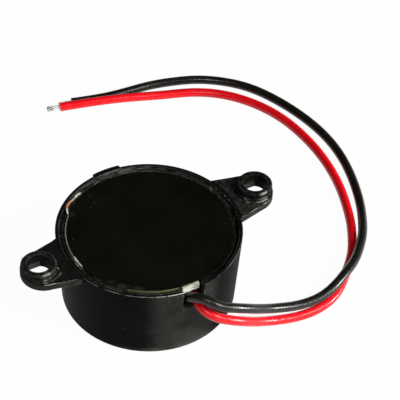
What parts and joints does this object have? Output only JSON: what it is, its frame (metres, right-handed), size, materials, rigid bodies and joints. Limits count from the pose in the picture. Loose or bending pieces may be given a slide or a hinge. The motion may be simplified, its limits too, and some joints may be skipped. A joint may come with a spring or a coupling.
{
  "type": "piezo buzzer",
  "caption": "Round panel-mount piezo buzzer lying on its sound face, back board up, with screw ears beside the rim and limp flying leads from a notch.",
  "frame": {"origin": "centre of the sound face, on the surface the buzzer lies on", "axes": "+Z from the sound face towards the board at the back; +X along the line of the two screw holes; the lead notch faces -Y"},
  "size_m": [0.068, 0.0666, 0.0152],
  "materials": {
    "housing_plastic": "satin, finely textured",
    "board_laminate": "satin solder mask",
    "copper": "flat copper foil",
    "dark_sealant": "uneven, dull",
    "solder": "bright tin solder",
    "brass_sheet": "rolled sheet",
    "piezo_ceramic": "fired, dull",
    "silver_film": "printed silver",
    "white_sealant": "smooth silicone",
    "white_wire": "smooth",
    "blue_wire": "smooth",
    "black_wire": "smooth",
    "moulded_epoxy": "matt",
    "tinned_metal": "tinned",
    "resistor_glaze": "glazed",
    "capacitor_ceramic": "dull",
    "ferrite": "sintered, dull",
    "magnet_wire": "enamelled, glossy",
    "red_insulation": "smooth, limp",
    "black_insulation": "smooth, limp"
  },
  "bodies": {
    "root": {"housing": "housing_plastic", "circuit_board": "board_laminate", "board_pads": "copper", "board_adhesive": "dark_sealant", "solder_joints": "solder", "diaphragm": "brass_sheet", "piezo_ceramic": "piezo_ceramic", "main_electrode": "silver_film", "feedback_electrode": "silver_film", "diaphragm_adhesive": "white_sealant", "piezo_solder": "solder", "drive_wire": "white_wire", "feedback_wire": "blue_wire", "ground_wire": "black_wire", "transistor_body": "moulded_epoxy", "transistor_legs": "tinned_metal", "resistor_bodies": "resistor_glaze", "resistor_caps": "tinned_metal", "diode_body": "moulded_epoxy", "diode_legs": "tinned_metal", "capacitor_body": "capacitor_ceramic", "capacitor_caps": "tinned_metal", "inductor_core": "ferrite", "inductor_winding": "magnet_wire", "inductor_terminals": "tinned_metal", "red_lead": "red_insulation", "red_lead_root": "tinned_metal", "red_lead_tip": "tinned_metal", "black_lead": "black_insulation", "black_lead_root": "tinned_metal", "black_lead_tip": "tinned_metal"}
  },
  "joints": []
}
